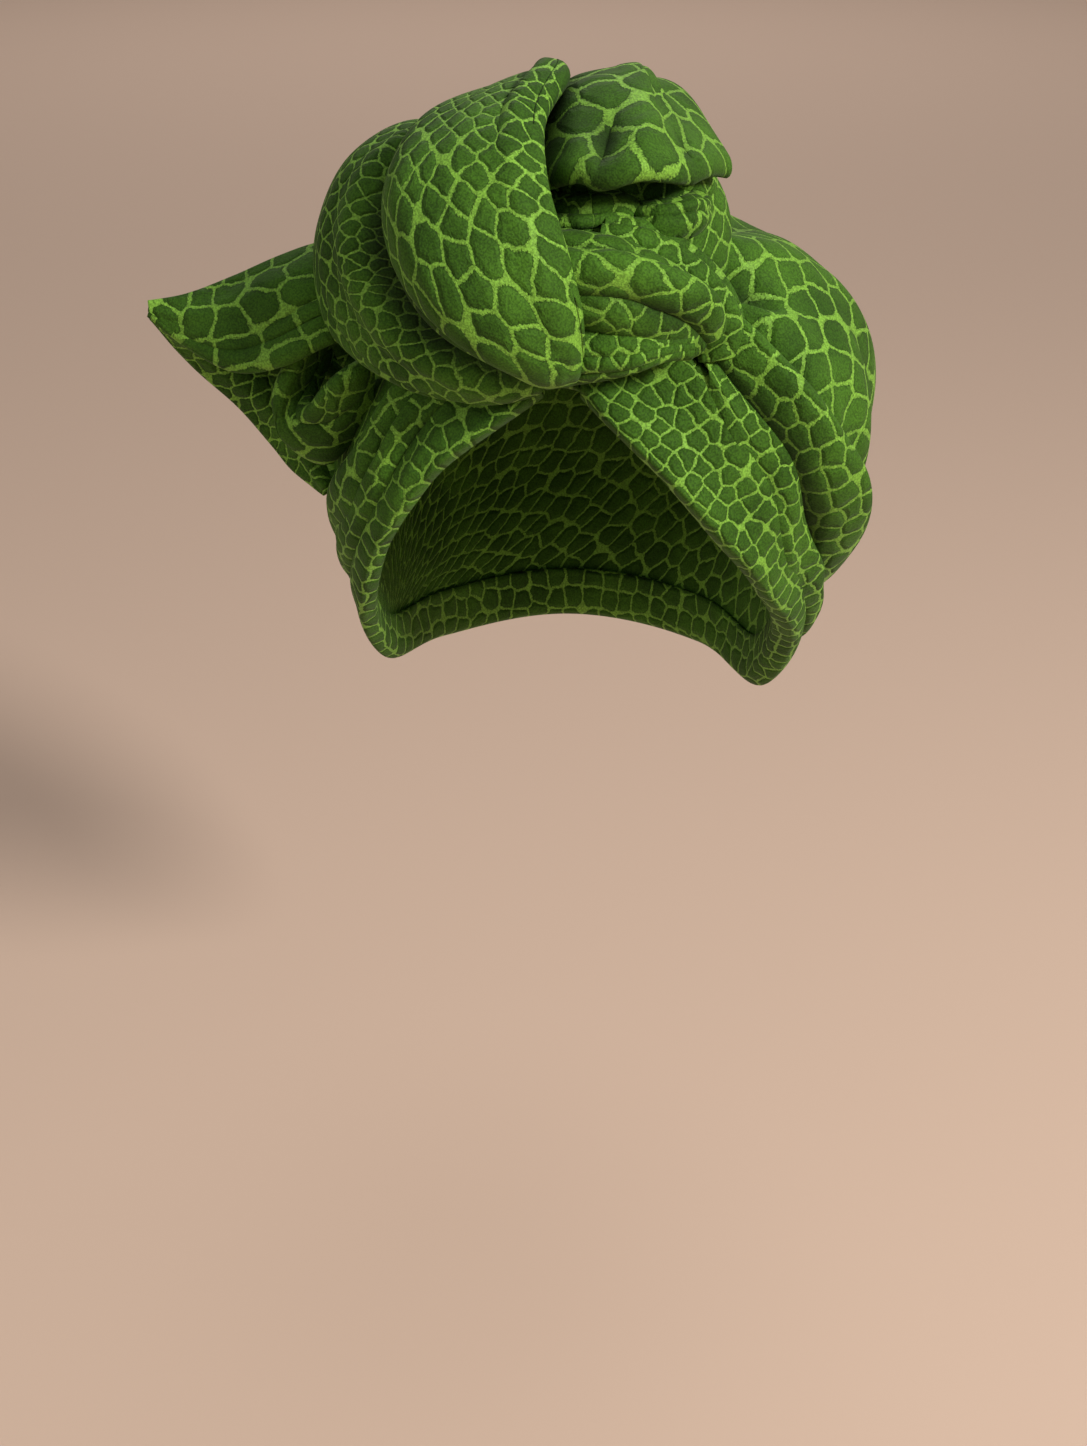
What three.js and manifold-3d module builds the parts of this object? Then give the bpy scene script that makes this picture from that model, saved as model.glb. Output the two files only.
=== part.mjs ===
// Turban headwrap, held up in the form it takes on a head.
// Lengths are millimetres, +Z is up, the face looks along -Y, +X is the viewer's right.
// The origin is the seat on top of the head, and the wrap hangs round and above it.

import * as THREE from "three";
import Module from "manifold-3d";

const wasm = await Module();
wasm.setup();
const { Manifold, Mesh } = wasm;

// Named sizes

const HEAD_WIDTH = 155;
const HEAD_LENGTH = 195;
const HEAD_CROWN = 95;
const HEAD_TAPER = 190;
const EASE = 1.5;
const CLOTH = 2;
const GAP = 0.3;
const POUF = 42;
const FOLD_LIFT = 12;
const KNOT_WIDTH = 140;
const KNOT_DEPTH = 80;
const KNOT_HEIGHT = 120;
const TAIL_REACH = 75;
const TAIL_DEPTH = 40;
const TAIL_DROP = 90;

// Directions: degrees round the head from the front towards +X, and degrees above the widest level.

// Columns: round, above. The rim of the wrap, from the nape round by the left ear and the face.
const RIM = [
  [-180, -40], [-140, -42], [-104, -40], [-72, -17], [-52, 7], [-42, 19], [-32, 30], [-18, 43],
  [0, 45], [18, 28], [31, 12], [51, -7], [75, -24], [104, -44], [140, -43], [180, -40],
];

// Columns: round, above, spread in degrees, height as a share of the pouf.
const BULGES = [
  [82, 38, 38, 0.88],
  [180, 20, 55, 0.4],
  [150, 75, 40, 0.1],
  [-110, 35, 45, 0.34],
];

// Columns: round, lower edge, upper edge, stand-off and lift as shares of the fold lift.
// Each band runs from the knot's left side round the nape to the knot's right side.
const BAND_LOWER = [
  [-10, 44, 56, 0.0, 0.25],
  [-32, 29, 45, 0.0, 0.3],
  [-42, 18, 35, 0.0, 0.35],
  [-52, 6, 20, 0.0, 0.35],
  [-72, -18, -2, 0.0, 0.35],
  [-104, -41, -22, 0.0, 0.4],
  [-140, -43, -22, 0.0, 0.45],
  [-180, -41, -20, 0.0, 0.5],
  [-220, -44, -22, 0.0, 0.6],
  [-256, -46, -25, 0.1, 0.8],
  [-285, -27, -10, 0.0, 0.7],
  [-309, -8, 10, 0.0, 0.5],
  [-318, 1, 26, 0.0, 0.45],
  [-330, 13, 44, 0.0, 0.4],
  [-343, 28, 54, 0.0, 0.35],
  [-360, 44, 60, 0.0, 0.3],
];
const BAND_MIDDLE = [
  [-30, 44, 53, 0.1, 0.3],
  [-42, 32, 44, 0.2, 0.45],
  [-52, 14, 28, 0.2, 0.45],
  [-72, -6, 8, 0.2, 0.35],
  [-104, -27, -12, 0.2, 0.35],
  [-140, -32, -14, 0.2, 0.5],
  [-180, -30, -12, 0.3, 0.6],
  [-220, -32, -14, 0.3, 0.7],
  [-256, -36, -20, 0.4, 0.8],
  [-272, -31, -17, 0.4, 0.75],
  [-290, -16, -4, 0.3, 0.7],
  [-305, -4, 11, 0.2, 0.5],
  [-314, 8, 25, 0.1, 0.4],
  [-324, 24, 39, 0.1, 0.4],
  [-331, 38, 51, 0.1, 0.4],
];
const BAND_UPPER = [
  [-40, 42, 54, 0.1, 0.3],
  [-50, 28, 44, 0.2, 0.5],
  [-62, 8, 26, 0.2, 0.5],
  [-80, -6, 12, 0.1, 0.35],
  [-104, -14, 4, 0.1, 0.35],
  [-140, -20, 0, 0.2, 0.5],
  [-180, -22, 0, 0.3, 0.7],
  [-220, -22, -2, 0.1, 0.95],
  [-256, -26, -5, 0, 1],
  [-272, -21, -1, 0, 1],
  [-290, -8, 9, 0.3, 0.95],
  [-303, 9, 22, 0.5, 0.9],
  [-311, 19, 32, 0.5, 0.9],
  [-318, 29, 43, 0.5, 0.85],
  [-325, 39, 54, 0.4, 0.7],
  [-333, 50, 63, 0.2, 0.5],
];

// Columns: one edge x y z, other edge x y z, arch, layers.
// Knot rows are shares of its width, depth and height from its seat, and arch is a share of its
// depth. Layers counts the cloth lying together in the fold.
const KNOT_CORE = [
  [-0.5, 0.16, 0.08, -0.46, 0.5, 0.06, 0, 8],
  [-0.36, 0, 0.12, -0.32, 0.58, 0.1, 0, 24],
  [-0.2, -0.14, 0.15, -0.16, 0.68, 0.12, 0, 38],
  [0, -0.18, 0.17, 0.02, 0.72, 0.13, 0, 44],
  [0.14, -0.14, 0.16, 0.16, 0.7, 0.13, 0, 42],
  [0.26, -0.02, 0.12, 0.28, 0.62, 0.1, 0, 32],
  [0.34, 0.1, 0.06, 0.36, 0.46, 0.06, 0, 12],
];
const KNOT_DRAPE = [
  [-0.16, 0.94, 0.04, 0.0, 0.92, 0.06, 0.02, 1.4],
  [-0.22, 0.84, 0.3, -0.02, 0.78, 0.4, 0.02, 1.4],
  [-0.26, 0.6, 0.42, -0.04, 0.49, 0.6, 0.02, 1.4],
  [-0.27, 0.33, 0.48, -0.02, 0.11, 0.66, 0.04, 1.4],
  [-0.36, 0.1, 0.44, -0.07, -0.23, 0.58, 0.1, 1.4],
  [-0.41, -0.12, 0.32, -0.06, -0.47, 0.44, 0.18, 1.4],
  [-0.38, -0.33, 0.17, -0.01, -0.58, 0.26, 0.18, 1.4],
  [-0.29, -0.45, 0.06, 0.02, -0.58, 0.12, 0.14, 1.4],
  [-0.14, -0.48, -0.02, 0.03, -0.51, 0.01, 0.08, 1.6],
  [-0.05, -0.4, -0.07, 0.03, -0.38, -0.07, 0.02, 1.6],
];
const KNOT_ROLL = [
  [-0.2, 0.88, 0.06, -0.12, 0.86, 0.1, 0.04, 2.5],
  [-0.27, 0.74, 0.32, -0.18, 0.66, 0.36, 0.06, 2.5],
  [-0.37, 0.53, 0.45, -0.26, 0.25, 0.42, 0.06, 2.5],
  [-0.5, 0.5, 0.36, -0.34, -0.02, 0.36, 0.1, 2.5],
  [-0.57, 0.52, 0.19, -0.36, -0.2, 0.25, 0.13, 2.5],
  [-0.59, 0.48, 0.05, -0.32, -0.33, 0.14, 0.13, 2.5],
  [-0.56, 0.3, -0.05, -0.24, -0.42, 0.05, 0.12, 2.5],
  [-0.45, 0.06, -0.12, -0.14, -0.46, -0.01, 0.1, 2.5],
  [-0.3, -0.12, -0.14, -0.06, -0.44, -0.05, 0.07, 2.5],
  [-0.12, -0.25, -0.12, 0.0, -0.37, -0.06, 0.03, 2.5],
];
const KNOT_LOBE = [
  [-0.08, -0.1, 0.4, -0.1, 0.8, 0.03, 0.48, 1.4],
  [0.03, -0.38, 0.48, 0, 0.82, 0.03, 0.56, 1.4],
  [0.12, -0.45, 0.48, 0.1, 0.82, 0.03, 0.56, 1.4],
  [0.21, -0.38, 0.47, 0.19, 0.8, 0.02, 0.6, 1.4],
  [0.28, -0.22, 0.46, 0.26, 0.76, 0.02, 0.65, 1.4],
  [0.33, -0.04, 0.45, 0.31, 0.7, 0.02, 0.65, 1.4],
  [0.37, 0.1, 0.43, 0.35, 0.64, 0.02, 0.56, 1.4],
];
const KNOT_SIDE = [
  [0.24, 0.1, 0.22, 0.23, 0.02, 0.42, 0.02, 3],
  [0.29, 0.18, 0.2, 0.28, 0.12, 0.42, 0.06, 3],
  [0.33, 0.34, 0.18, 0.32, 0.28, 0.4, 0.06, 3],
  [0.34, 0.56, 0.1, 0.33, 0.5, 0.32, 0.04, 3],
];
const KNOT_TWIST = [
  [-0.08, -0.4, 0.1, -0.1, -0.3, 0.3, 0.04, 8],
  [0.09, -0.49, 0.08, 0.06, -0.32, 0.28, 0.08, 9],
  [0.17, -0.46, 0.05, 0.16, -0.3, 0.24, 0.1, 9],
  [0.24, -0.4, 0.02, 0.25, -0.24, 0.16, 0.08, 9],
  [0.3, -0.32, -0.02, 0.3, -0.22, 0.06, 0.04, 7],
];
const KNOT_TWIST_UPPER = [
  [0.06, -0.3, 0.24, 0.08, -0.16, 0.28, 0.03, 6],
  [0.16, -0.3, 0.2, 0.18, -0.1, 0.24, 0.06, 7],
  [0.26, -0.26, 0.12, 0.28, -0.06, 0.17, 0.07, 7],
  [0.32, -0.22, 0.02, 0.35, -0.06, 0.06, 0.06, 7],
  [0.33, -0.22, -0.06, 0.37, -0.1, -0.04, 0.03, 6],
];
const KNOT_LEAF = [
  [-0.04, -0.2, 0.24, -0.04, -0.14, 0.36, 0.02, 3],
  [0.04, -0.24, 0.26, 0.04, -0.18, 0.36, 0.04, 3],
  [0.11, -0.2, 0.27, 0.11, -0.12, 0.36, 0.04, 3],
  [0.17, -0.08, 0.24, 0.17, 0.0, 0.32, 0.02, 3],
];
const KNOT_COIL = [
  [0.17, -0.18, 0.27, 0.17, -0.1, 0.33, 0.02, 3],
  [0.22, -0.21, 0.26, 0.22, -0.12, 0.34, 0.05, 4],
  [0.27, -0.14, 0.26, 0.27, -0.05, 0.34, 0.05, 4],
  [0.31, 0, 0.26, 0.31, 0.06, 0.34, 0.02, 3],
];
const KNOT_TUCK = [
  [-0.04, -0.34, -0.1, -0.04, -0.42, 0.06, 0.04, 4],
  [0.1, -0.36, -0.06, 0.09, -0.44, 0.07, 0.06, 5],
  [0.2, -0.38, -0.02, 0.19, -0.42, 0.06, 0.05, 4],
  [0.28, -0.34, -0.02, 0.28, -0.36, 0.05, 0.02, 3],
];

// Tail rows are shares of its reach, depth and drop from its seat; arch is a share of its depth.
const TAIL_TOP = [
  [-1.04, 0.17, 0.21, -1.04, 0.17, 0.24, 0.0, 1],
  [-0.86, 0.05, 0.11, -0.86, 0.2, 0.26, 0.04, 1],
  [-0.64, -0.16, 0.05, -0.65, 0.28, 0.32, 0.08, 1],
  [-0.42, -0.3, 0.09, -0.44, 0.36, 0.39, 0.12, 1],
  [-0.21, -0.3, 0.17, -0.25, 0.4, 0.44, 0.12, 1],
  [0.02, -0.2, 0.22, 0.0, 0.3, 0.48, 0.08, 1],
];
const TAIL_UNDER = [
  [-1.03, 0.22, 0.19, -1.02, 0.24, 0.21, 0.0, 1],
  [-0.86, 0.45, -0.03, -0.7, 0.5, 0.18, 0.04, 1],
  [-0.68, 0.55, -0.2, -0.4, 0.6, 0.14, 0.08, 1],
  [-0.54, 0.55, -0.35, -0.2, 0.6, 0.04, 0.08, 1],
  [-0.44, 0.45, -0.44, -0.14, 0.5, -0.14, 0.04, 1],
  [-0.34, 0.36, -0.5, -0.17, 0.42, -0.36, 0.03, 1],
  [-0.28, 0.32, -0.54, -0.2, 0.36, -0.47, 0.02, 1],
];
const TAIL_LOOP = [
  [-0.23, 0.03, 0.2, -0.14, 0.5, 0.16, 0.0, 1.4],
  [-0.35, -0.1, 0.04, -0.24, 0.4, 0.0, 0.0, 1.4],
  [-0.43, -0.15, -0.09, -0.3, 0.1, -0.1, 0.0, 1.4],
  [-0.43, -0.12, -0.24, -0.29, -0.3, -0.11, 0.0, 1.4],
  [-0.26, -0.05, -0.35, -0.19, -0.45, -0.03, 0.0, 1.4],
  [-0.13, -0.05, -0.26, -0.09, -0.45, 0.03, 0.0, 1.4],
  [-0.02, -0.1, -0.12, 0.0, -0.3, 0.06, 0.0, 1.4],
];
const TAIL_CURL = [
  [-0.2, 0.15, 0.22, -0.12, 0.25, 0.2, 0.0, 2],
  [-0.17, 0.15, 0.07, -0.08, 0.3, 0.07, 0.03, 2],
  [-0.08, 0.1, -0.04, 0.0, 0.2, 0.0, 0.0, 2],
];

const rad = (degrees) => degrees * Math.PI / 180;
const smooth = (t) => {
  const c = Math.min(1, Math.max(0, t));
  return c * c * (3 - 2 * c);
};

// The head's middle at its widest level, from which directions are counted.
const CENTRE = new THREE.Vector3(0, 0, -HEAD_CROWN);

function direction(round, above) {
  const a = rad(round);
  const e = rad(above);
  return new THREE.Vector3(Math.sin(a) * Math.cos(e), -Math.cos(a) * Math.cos(e), Math.sin(e));
}

function wrapRound(round) {
  return ((round + 180) % 360 + 360) % 360 - 180;
}

function rimAbove(round) {
  const r = wrapRound(round);
  for (let i = 1; i < RIM.length; i += 1) {
    if (r <= RIM[i][0]) {
      const [r0, a0] = RIM[i - 1];
      const [r1, a1] = RIM[i];
      return a0 + (a1 - a0) * (r - r0) / (r1 - r0);
    }
  }
  return RIM[0][1];
}

function headRadius(d) {
  const tall = d.z >= 0 ? HEAD_CROWN : HEAD_TAPER;
  const share = (d.x / (HEAD_WIDTH / 2)) ** 2 + (d.y / (HEAD_LENGTH / 2)) ** 2 + (d.z / tall) ** 2;
  return 1 / Math.sqrt(share);
}

function crownRadius(round, above) {
  const d = direction(round, above);
  const fade = smooth((above - rimAbove(round) - 4) / 30);
  let radius = headRadius(d) + EASE + CLOTH;
  for (const [r, a, spread, share] of BULGES) {
    const angle = d.angleTo(direction(r, a)) * 180 / Math.PI;
    radius += fade * share * POUF * Math.exp(-((angle / spread) ** 2));
  }
  return radius;
}

function crownPoint(round, above, lift) {
  return direction(round, above).multiplyScalar(crownRadius(round, above) + lift).add(CENTRE);
}

// Closed meshes from rings

function wallFaces(rings) {
  const size = rings[0].length;
  const faces = [];
  for (let i = 0; i + 1 < rings.length; i += 1) {
    for (let k = 0; k < size; k += 1) {
      const a = i * size + k;
      const b = i * size + (k + 1) % size;
      faces.push(a, b, a + size, b, b + size, a + size);
    }
  }
  return faces;
}

// Closed by a fan from one point at each end.
function meshFromRings(rings, startPole, endPole) {
  const size = rings[0].length;
  const points = rings.flat();
  const faces = wallFaces(rings);
  const cap = (ring, pole, turned) => {
    const start = ring * size;
    points.push(pole);
    const tip = points.length - 1;
    for (let k = 0; k < size; k += 1) {
      const a = start + k;
      const b = start + (k + 1) % size;
      faces.push(...(turned ? [b, a, tip] : [a, b, tip]));
    }
  };
  cap(0, startPole, true);
  cap(rings.length - 1, endPole, false);
  return solidFrom(points, faces);
}

// Closed by a strip from the outer to the inner side of the cloth, which follows a curved end.
function meshFromFolds(rings) {
  const size = rings[0].length;
  const faces = wallFaces(rings);
  const cap = (ring, turned) => {
    const place = (k) => ring * size + k % size;
    const add = (a, b, c) => faces.push(...(turned ? [b, a, c] : [a, b, c]));
    for (let k = 0; k < size / 2; k += 1) {
      if (k > 0) {
        add(place(k), place(k + 1), place(size - k));
      }
      if (k + 1 < size / 2) {
        add(place(k + 1), place(size - k - 1), place(size - k));
      }
    }
  };
  cap(0, true);
  cap(rings.length - 1, false);
  return solidFrom(rings.flat(), faces);
}

function solidFrom(points, faces) {
  const vertProperties = new Float32Array(points.flatMap((p) => [p.x, p.y, p.z]));
  const mesh = new Mesh({ numProp: 3, vertProperties, triVerts: new Uint32Array(faces) });
  const solid = new Manifold(mesh);
  if (solid.volume() > 0) {
    return solid;
  }
  const turned = [];
  for (let i = 0; i < faces.length; i += 3) {
    turned.push(faces[i], faces[i + 2], faces[i + 1]);
  }
  return new Manifold(new Mesh({ numProp: 3, vertProperties, triVerts: new Uint32Array(turned) }));
}

function meanPoint(ring) {
  return ring.reduce((sum, p) => sum.add(p), new THREE.Vector3()).divideScalar(ring.length);
}

// Values between the rows of a table, on a smooth curve through every row.
function rowAt(table, place) {
  const last = table.length - 1;
  const i = Math.min(last - 1, Math.floor(place));
  const t = place - i;
  const [p0, p1, p2, p3] = [i - 1, i, i + 1, i + 2].map((k) => table[Math.min(last, Math.max(0, k))]);
  return p1.map((_, c) => {
    const m1 = (p2[c] - p0[c]) / 2;
    const m2 = (p3[c] - p1[c]) / 2;
    const a = 2 * p1[c] - 2 * p2[c] + m1 + m2;
    const b = -3 * p1[c] + 3 * p2[c] - 2 * m1 - m2;
    return ((a * t + b) * t + m1) * t + p1[c];
  });
}

// Crown: a cloth shell over the head, open below and at the face

const CROWN_ROUND = 40;
const CROWN_ROWS = 12;

function crownRing(share, offset) {
  const ring = [];
  for (let k = 0; k < CROWN_ROUND; k += 1) {
    const round = -180 + 360 * k / CROWN_ROUND;
    const above = 90 - (90 - rimAbove(round) - 1.5) * share;
    ring.push(crownPoint(round, above, offset));
  }
  return ring;
}

function crownShell() {
  const outer = [];
  const inner = [];
  for (let i = 1; i <= CROWN_ROWS; i += 1) {
    outer.push(crownRing(i / CROWN_ROWS, 0));
  }
  for (let i = CROWN_ROWS / 2; i >= 1; i -= 1) {
    inner.push(crownRing(2 * i / CROWN_ROWS, -CLOTH));
  }
  return meshFromRings([...outer, ...inner], crownPoint(0, 90, 0), crownPoint(0, 90, -CLOTH));
}

function crownFilled(grow) {
  const rings = [];
  for (let i = 1; i <= CROWN_ROWS; i += 1) {
    rings.push(crownRing(i / CROWN_ROWS, grow));
  }
  rings.push(crownRing(1.004, grow));
  return meshFromRings(rings, crownPoint(0, 90, grow), CENTRE.clone());
}

// Bands: folded cloth lying round the crown

const BAND_STEPS = 6;
const BURIED = 2;

function bandSolid(table, sections, grow) {
  const rings = [];
  for (let i = 0; i < sections; i += 1) {
    const row = rowAt(table, (table.length - 1) * i / (sections - 1));
    const [round, low, high, stand, lift] = row;
    const middle = (low + high) / 2;
    const half = (high - low) / 2 + grow;
    const ring = [];
    for (let k = 0; k <= BAND_STEPS; k += 1) {
      const a = Math.PI * k / BAND_STEPS;
      const edge = k === 0 || k === BAND_STEPS;
      const rise = edge ? -BURIED : (stand + lift * Math.sqrt(Math.sin(a))) * FOLD_LIFT + grow;
      ring.push(crownPoint(round, middle + half * Math.cos(a), rise));
    }
    ring.push(crownPoint(round, middle, -3 * BURIED - grow));
    rings.push(ring);
  }
  return meshFromRings(rings, meanPoint(rings[0]), meanPoint(rings[rings.length - 1]));
}

// Folds: a strip of cloth between two edges, arched outward

function foldSolid(table, seat, size, sections, around, grow) {
  const rows = [];
  for (let i = 0; i < sections; i += 1) {
    const row = rowAt(table, (table.length - 1) * i / (sections - 1));
    const place = (c) => new THREE.Vector3(row[c], row[c + 1], row[c + 2]).multiply(size).add(seat);
    rows.push({ one: place(0), other: place(3), arch: row[6] * size.y, thick: row[7] * CLOTH });
  }
  const middles = rows.map((r) => r.one.clone().add(r.other).multiplyScalar(0.5));
  const rings = rows.map((r, i) => {
    const before = middles[Math.max(0, i - 2)];
    const after = middles[Math.min(sections - 1, i + 2)];
    const along = after.clone().sub(before).normalize();
    const width = r.other.clone().sub(r.one);
    const half = width.length() / 2;
    width.normalize();
    const out = along.clone().cross(width).normalize();
    const slip = i === 0 ? -grow : i === sections - 1 ? grow : 0;
    const ring = [];
    for (let k = 0; k < around; k += 1) {
      const a = 2 * Math.PI * k / around;
      const across = Math.cos(a) * (1 + grow / half);
      const lean = 2 * r.arch * across / half;
      const offset = Math.sin(a) * (r.thick / 2 + grow) / Math.hypot(lean, 1);
      const p = middles[i].clone().addScaledVector(width, across * half + lean * offset);
      const rise = r.arch * (1 - across * across) + offset;
      ring.push(p.addScaledVector(out, rise).addScaledVector(along, slip));
    }
    return ring;
  });
  return meshFromFolds(rings);
}

const knotSeat = crownPoint(-6, 58, CLOTH);
const knotSize = new THREE.Vector3(KNOT_WIDTH, KNOT_DEPTH, KNOT_HEIGHT);
const tailSeat = crownPoint(-70, 40, 0);
const tailSize = new THREE.Vector3(TAIL_REACH, TAIL_DEPTH, TAIL_DROP);

const knotFold = (table, sections, around) => (grow) =>
  foldSolid(table, knotSeat, knotSize, sections, around, grow);
const tailFold = (table, sections, around) => (grow) =>
  foldSolid(table, tailSeat, tailSize, sections, around, grow);
const band = (table, sections) => (grow) => bandSolid(table, sections, grow);

// Order of laying: every piece is cut back to a clear gap from all the pieces before it.
const pieces = [
  ["band_lower", band(BAND_LOWER, 34)],
  ["band_middle", band(BAND_MIDDLE, 30)],
  ["band_upper", band(BAND_UPPER, 32)],
  ["knot_core", knotFold(KNOT_CORE, 5, 7)],
  ["knot_drape", knotFold(KNOT_DRAPE, 17, 14)],
  ["knot_roll", knotFold(KNOT_ROLL, 16, 12)],
  ["knot_tuck", knotFold(KNOT_TUCK, 7, 10)],
  ["knot_twist", knotFold(KNOT_TWIST, 9, 12)],
  ["knot_twist_upper", knotFold(KNOT_TWIST_UPPER, 9, 10)],
  ["knot_lobe", knotFold(KNOT_LOBE, 12, 16)],
  ["knot_leaf", knotFold(KNOT_LEAF, 7, 10)],
  ["knot_coil", knotFold(KNOT_COIL, 6, 9)],
  ["knot_side", knotFold(KNOT_SIDE, 7, 10)],
  ["tail_top", tailFold(TAIL_TOP, 9, 8)],
  ["tail_under", tailFold(TAIL_UNDER, 10, 9)],
  ["tail_loop", tailFold(TAIL_LOOP, 15, 8)],
  ["tail_curl", tailFold(TAIL_CURL, 7, 8)],
];

const crownGrown = crownFilled(GAP);
const laid = [];
const solids = new Map([["crown", crownShell()]]);
for (const [name, make] of pieces) {
  let solid = make(0).subtract(crownGrown);
  for (const other of laid) {
    solid = solid.subtract(other);
  }
  const parts = solid.simplify(0.1).decompose();
  parts.sort((a, b) => b.volume() - a.volume());
  solids.set(name, parts[0]);
  laid.push(make(GAP), parts[0]);
}

// Group of named meshes

const group = new THREE.Group();
group.name = "turban_headwrap";
for (const [name, solid] of solids) {
  const { vertProperties, triVerts, numProp } = solid.getMesh();
  const geometry = new THREE.BufferGeometry();
  const positions = new Float32Array(vertProperties.length / numProp * 3);
  for (let i = 0; i < positions.length / 3; i += 1) {
    positions.set(vertProperties.subarray(i * numProp, i * numProp + 3), i * 3);
  }
  geometry.setAttribute("position", new THREE.BufferAttribute(positions, 3));
  geometry.setIndex(new THREE.BufferAttribute(new Uint32Array(triVerts), 1));
  const mesh = new THREE.Mesh(geometry, new THREE.MeshStandardMaterial());
  mesh.name = name;
  group.add(mesh);
}

export default group;
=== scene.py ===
"""Turban headwrap: the cloth's true folds, its scale pattern, the light and the camera.

Lengths are millimetres until a mesh is made. +Z is up, the face looks along -Y, and the origin is
the seat on top of the head.
"""

import math

import bpy
import numpy as np
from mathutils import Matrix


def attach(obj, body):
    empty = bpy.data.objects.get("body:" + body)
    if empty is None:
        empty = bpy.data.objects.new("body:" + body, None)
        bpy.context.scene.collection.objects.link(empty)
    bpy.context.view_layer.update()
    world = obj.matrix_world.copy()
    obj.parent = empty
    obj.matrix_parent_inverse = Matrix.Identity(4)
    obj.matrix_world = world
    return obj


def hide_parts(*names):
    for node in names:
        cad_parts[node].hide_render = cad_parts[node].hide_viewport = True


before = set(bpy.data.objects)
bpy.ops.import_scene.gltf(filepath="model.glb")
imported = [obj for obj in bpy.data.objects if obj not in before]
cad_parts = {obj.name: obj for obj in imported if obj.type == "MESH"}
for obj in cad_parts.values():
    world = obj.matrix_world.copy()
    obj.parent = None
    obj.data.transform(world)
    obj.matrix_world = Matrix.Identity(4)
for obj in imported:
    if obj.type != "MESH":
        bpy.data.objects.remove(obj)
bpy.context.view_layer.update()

# Named sizes, as in the part's source

HEAD_WIDTH = 155
HEAD_LENGTH = 195
HEAD_CROWN = 95
HEAD_TAPER = 190
EASE = 1.5
CLOTH = 2
POUF = 42
FOLD_LIFT = 12
KNOT_SIZE = np.array([140, 80, 120])
TAIL_SIZE = np.array([75, 40, 90])

# Values of the cloth's finer form and of its pattern

METRES = 0.001
CROWN_ROUNDS = 371
CROWN_ROWS = 111
CROWN_SEAM = -278
CROWN_LEFT = -60
BACK_SHARE = 0.48
CROWN_INSET = 1.5
CROWN_CELL = 11.5
CROWN_SPREAD = 0.94
POUF_TOP = (82, 38)
BAND_STEPS = 420
BAND_ROWS = 41
BAND_WALL = 0.7
RIPPLE_LENGTH = 17
LEAST_RISE = 0.5
HEM_ROWS = 8
HEM_TUCK = 9
HEM_DROP = 2.2
HEM_LIP = 1.2
CURL_ROWS = 10
CURL_BACK = 9
SHADE_DEPTH = 5
SHADE_LOSS = 0.6

# Columns: round, above. The rim of the wrap.
RIM = np.array([
    [-180, -40], [-140, -42], [-104, -40], [-72, -17], [-52, 7], [-42, 19], [-32, 30], [-18, 43],
    [0, 45], [18, 28], [31, 12], [51, -7], [75, -24], [104, -44], [140, -43], [180, -40],
])

# Columns: round, above, spread in degrees, height as a share of the pouf.
BULGES = [
    [82, 38, 38, 0.88],
    [180, 20, 55, 0.4],
    [150, 75, 40, 0.1],
    [-110, 35, 45, 0.34],
]

# Columns: start round and above, end round and above, width in degrees, height in millimetres.
CROWN_FOLDS = [
    [32, 63, 53, 50, 2.2, -10.0],
    [34, 67, 58, 56, 4.0, 4.5],
    [40, 56, 55, 44, 3.0, 3.0],
    [44, 66, 74, 52, 4.5, 4.0],
    [36, 55, 50, 35, 2.0, -4.5],
    [50, 35, 66, 14, 2.4, -3.5],
    [46, 50, 62, 28, 4.0, 2.5],
    [60, 34, 66, 18, 2.2, -2.0],
    [66, 36, 74, 12, 3.0, 1.8],
    [76, 40, 84, 6, 2.4, -2.4],
    [84, 44, 96, 4, 3.4, 2.6],
    [92, 40, 106, 4, 2.6, -2.4],
    [104, 44, 118, 4, 4.0, 3.0],
    [70, 66, 100, 58, 4.0, -3.0],
    [84, 72, 130, 66, 5.0, 3.5],
    [20, 74, 60, 74, 4.0, 2.5],
    [112, 66, 136, 4, 3.6, -5.0],
    [126, 68, 152, 4, 6.0, 3.5],
    [146, 70, 166, 6, 3.4, -5.0],
    [160, 72, -176, 4, 6.0, 3.5],
    [-176, 70, -166, 4, 3.4, -4.5],
    [-158, 68, -152, 8, 6.0, 3.5],
    [-138, 66, -136, 6, 3.4, -4.5],
    [-116, 62, -120, 10, 6.0, 3.0],
    [-98, 62, -106, 12, 3.6, -4.0],
    [-70, 60, -84, 20, 4.5, 2.0],
]

# Columns: round, lower edge, upper edge, stand-off and lift as shares of the fold lift.
BAND_LOWER = [
    [-10, 44, 56, 0.0, 0.25],
    [-32, 29, 45, 0.0, 0.3],
    [-42, 18, 35, 0.0, 0.35],
    [-52, 6, 20, 0.0, 0.35],
    [-72, -18, -2, 0.0, 0.35],
    [-104, -41, -22, 0.0, 0.4],
    [-140, -43, -22, 0.0, 0.45],
    [-180, -41, -20, 0.0, 0.5],
    [-220, -44, -22, 0.0, 0.6],
    [-256, -46, -25, 0.1, 0.8],
    [-285, -27, -10, 0.0, 0.7],
    [-309, -8, 10, 0.0, 0.5],
    [-318, 1, 26, 0.0, 0.45],
    [-330, 13, 44, 0.0, 0.4],
    [-343, 28, 54, 0.0, 0.35],
    [-360, 44, 60, 0.0, 0.3],
]
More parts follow.
